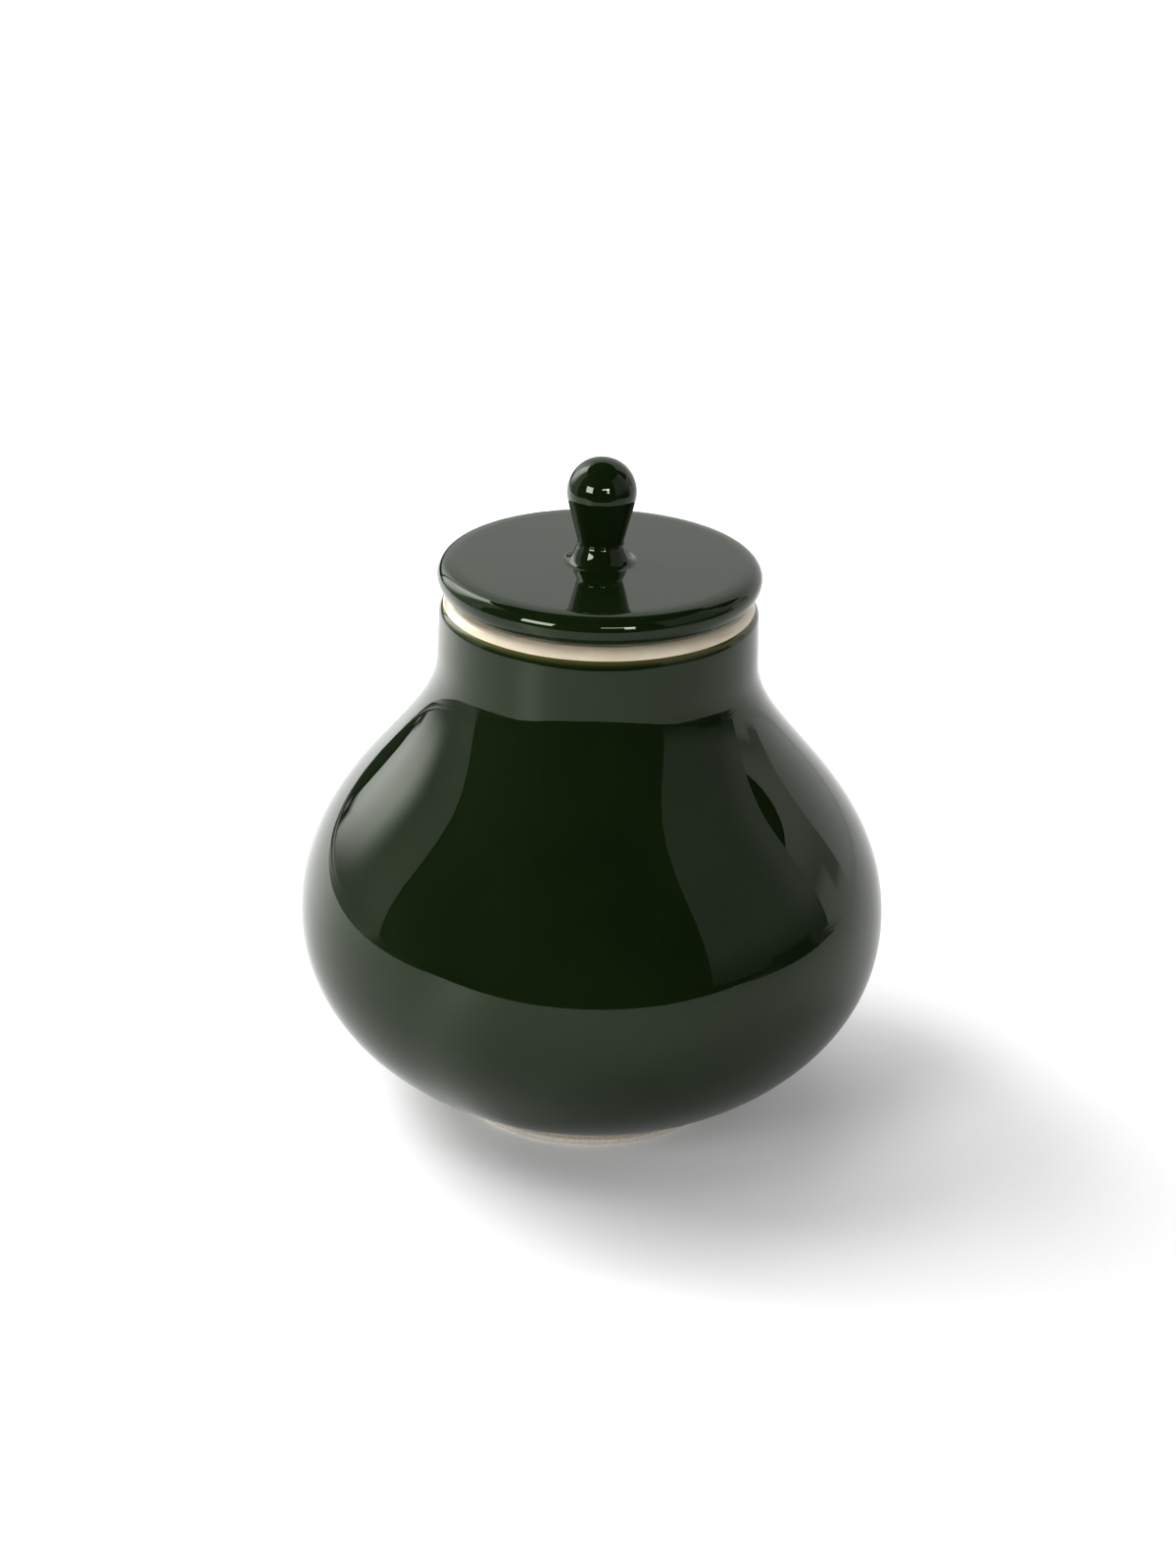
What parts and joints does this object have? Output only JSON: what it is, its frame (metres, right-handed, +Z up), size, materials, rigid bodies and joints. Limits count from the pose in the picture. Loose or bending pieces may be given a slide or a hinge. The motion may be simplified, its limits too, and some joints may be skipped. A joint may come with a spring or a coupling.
{
  "type": "lidded inkwell",
  "caption": "Round-bellied glazed stoneware ink jar on a small foot ring, with a drop-in disc lid and a ball-topped pinch knob.",
  "frame": {"origin": "centre of the foot ring on the surface the jar stands on", "axes": "+Z up along the axis of revolution; X and Y are free choices, since the jar is round"},
  "size_m": [0.09, 0.09, 0.1038],
  "materials": {
    "stoneware": "fired cream clay, bare and matt where it is wiped",
    "green_glaze": "glossy dark green glaze, olive where it runs thin",
    "clear_glaze": "glossy clear glaze over cream clay"
  },
  "bodies": {
    "jar": {"jar_body": "stoneware", "jar_outer_glaze": "green_glaze", "jar_inner_glaze": "clear_glaze", "base_glaze": "green_glaze"},
    "lid": {"lid_body": "stoneware", "lid_knob": "stoneware", "lid_outer_glaze": "green_glaze", "lid_inner_glaze": "clear_glaze"}
  },
  "joints": [
    {"name": "lid_lift", "type": "slide", "parent": "jar", "child": "lid", "axis": [0, 0, 1], "range_m": [0, 0.05]}
  ]
}
